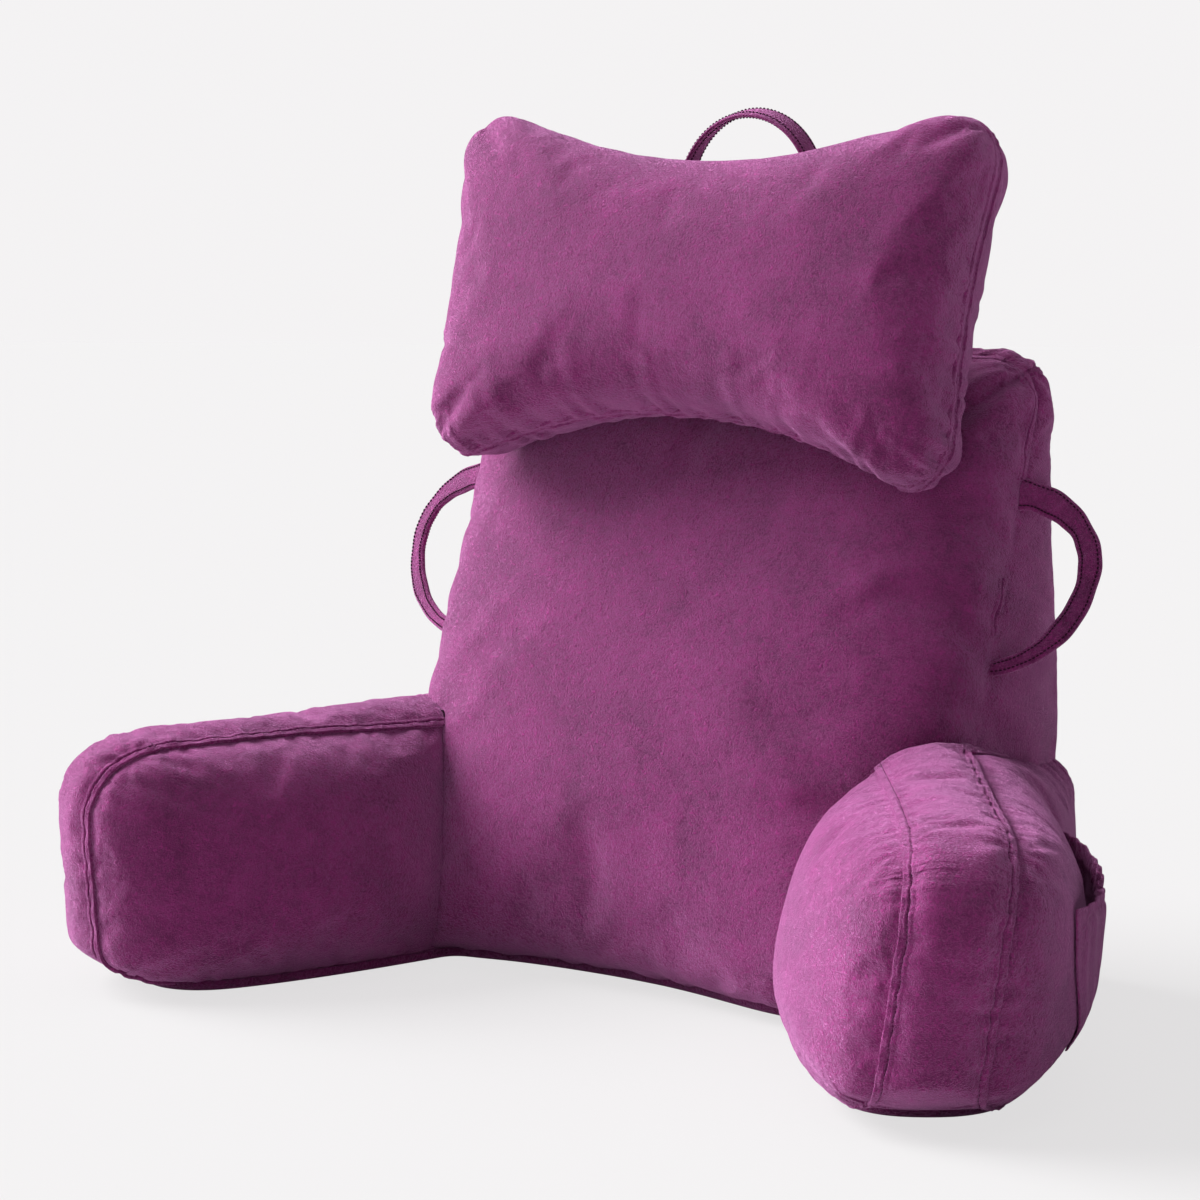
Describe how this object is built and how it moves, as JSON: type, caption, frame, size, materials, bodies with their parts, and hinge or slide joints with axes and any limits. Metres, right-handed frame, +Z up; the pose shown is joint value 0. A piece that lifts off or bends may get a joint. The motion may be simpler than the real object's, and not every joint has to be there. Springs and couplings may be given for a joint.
{
  "type": "reading pillow with arms",
  "caption": "Upright velvet reading pillow: a wedge back, splayed bolster arms, a bow-tie headrest, carry loops and a side pocket on one flat base.",
  "frame": {"origin": "on the floor under the middle of the back cushion, on the flat underside of the base panel", "axes": "+Z up, -Y the way the pillow faces and its arms reach, +X towards the arm that has the pocket"},
  "size_m": [0.8642, 0.4995, 0.7105],
  "materials": {
    "back_cushion": "short-pile velvet",
    "arm_left": "short-pile velvet",
    "arm_right": "short-pile velvet",
    "headrest": "short-pile velvet",
    "base_panel": "short-pile velvet",
    "top_handle": "short-pile velvet",
    "side_loop_left": "short-pile velvet",
    "side_loop_right": "short-pile velvet",
    "arm_pocket": "short-pile velvet"
  },
  "bodies": {
    "root": {"back_cushion": "back_cushion", "arm_left": "arm_left", "arm_right": "arm_right", "headrest": "headrest", "base_panel": "base_panel", "top_handle": "top_handle", "side_loop_left": "side_loop_left", "side_loop_right": "side_loop_right", "arm_pocket": "arm_pocket"}
  },
  "joints": []
}
